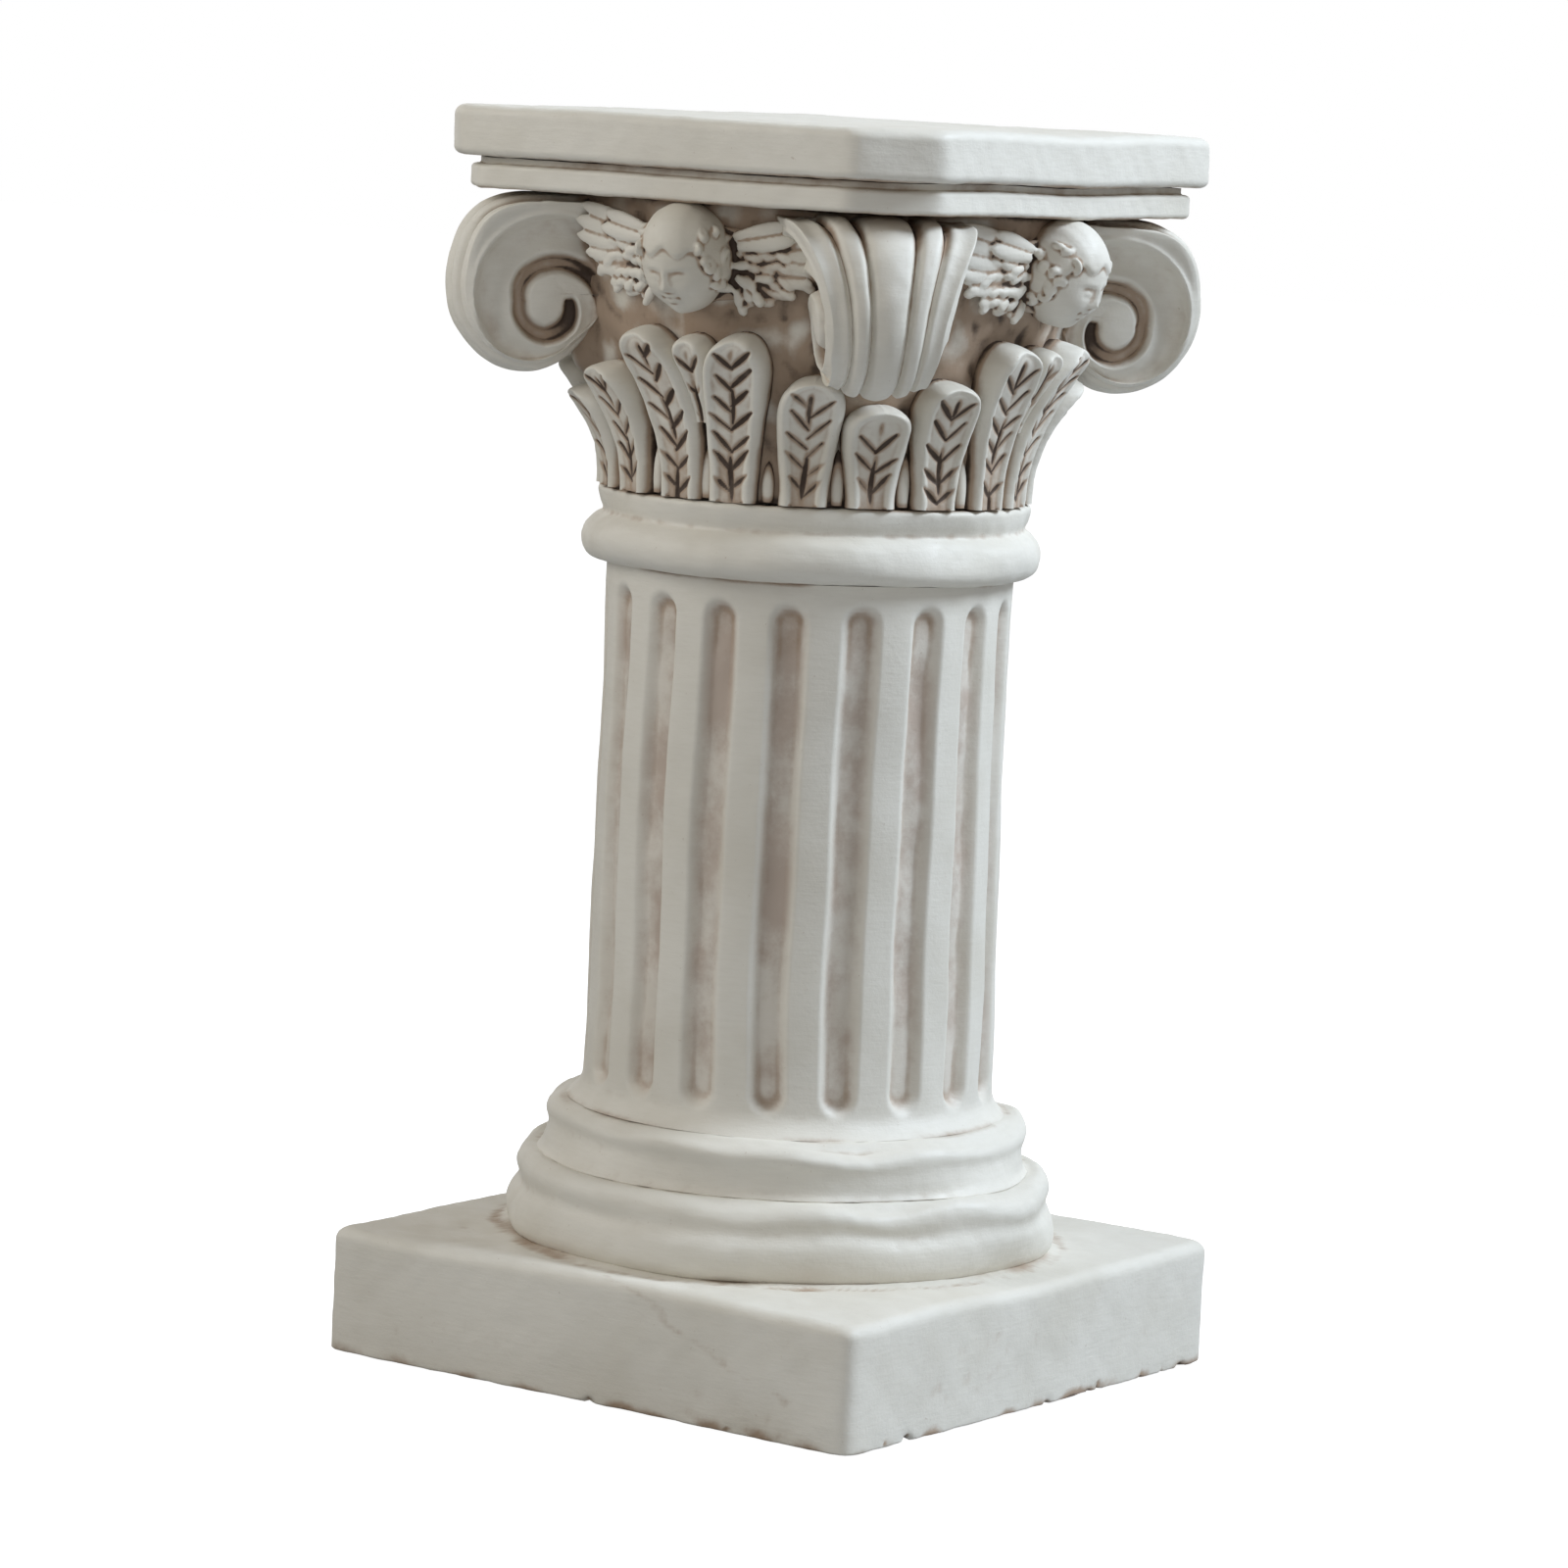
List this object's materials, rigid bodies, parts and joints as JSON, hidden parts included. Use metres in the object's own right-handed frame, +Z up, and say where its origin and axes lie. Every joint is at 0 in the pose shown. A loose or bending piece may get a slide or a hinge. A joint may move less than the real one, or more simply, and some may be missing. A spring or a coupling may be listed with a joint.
{
  "type": "pedestal column stand",
  "caption": "Square-based classical column stand with a fluted shaft, a leafed capital with corner scrolls and winged heads, and a flat square top.",
  "frame": {"origin": "on the surface the stand rests on, under the middle of the plinth, at the level of the felt pads' undersides", "axes": "+Z up along the column's axis, +X and +Y square to the plinth's sides, -Y towards the front face"},
  "size_m": [0.15, 0.15, 0.2917],
  "materials": {
    "plaster": "off-white cast plaster, sealed, faint wash in the corners",
    "washed_plaster": "carved off-white plaster with a brown wash in its recesses",
    "steel": "zinc-plated steel hardware",
    "felt": "dark green felt pads"
  },
  "bodies": {
    "root": {"plinth": "plaster", "felt_pad_1": "felt", "felt_pad_2": "felt", "felt_pad_3": "felt", "felt_pad_4": "felt", "lower_torus": "plaster", "upper_torus": "plaster", "shaft": "plaster", "neck_ring": "plaster", "bell": "washed_plaster", "lower_slab": "plaster", "top_slab": "plaster", "tie_rod": "steel", "plinth_washer": "steel", "plinth_nut": "steel", "bell_washer": "steel", "bell_nut": "steel", "front_corner_scroll": "plaster", "front_winged_head": "washed_plaster", "front_corner_leaf": "washed_plaster", "front_back_leaf": "washed_plaster", "front_left_tall_leaf": "washed_plaster", "front_left_short_leaf": "washed_plaster", "front_right_tall_leaf": "washed_plaster", "front_right_short_leaf": "washed_plaster", "right_corner_scroll": "plaster", "right_winged_head": "washed_plaster", "right_corner_leaf": "washed_plaster", "right_back_leaf": "washed_plaster", "right_left_tall_leaf": "washed_plaster", "right_left_short_leaf": "washed_plaster", "right_right_tall_leaf": "washed_plaster", "right_right_short_leaf": "washed_plaster", "back_corner_scroll": "plaster", "back_winged_head": "washed_plaster", "back_corner_leaf": "washed_plaster", "back_back_leaf": "washed_plaster", "back_left_tall_leaf": "washed_plaster", "back_left_short_leaf": "washed_plaster", "back_right_tall_leaf": "washed_plaster", "back_right_short_leaf": "washed_plaster", "left_corner_scroll": "plaster", "left_winged_head": "washed_plaster", "left_corner_leaf": "washed_plaster", "left_back_leaf": "washed_plaster", "left_left_tall_leaf": "washed_plaster", "left_left_short_leaf": "washed_plaster", "left_right_tall_leaf": "washed_plaster", "left_right_short_leaf": "washed_plaster"}
  },
  "joints": []
}
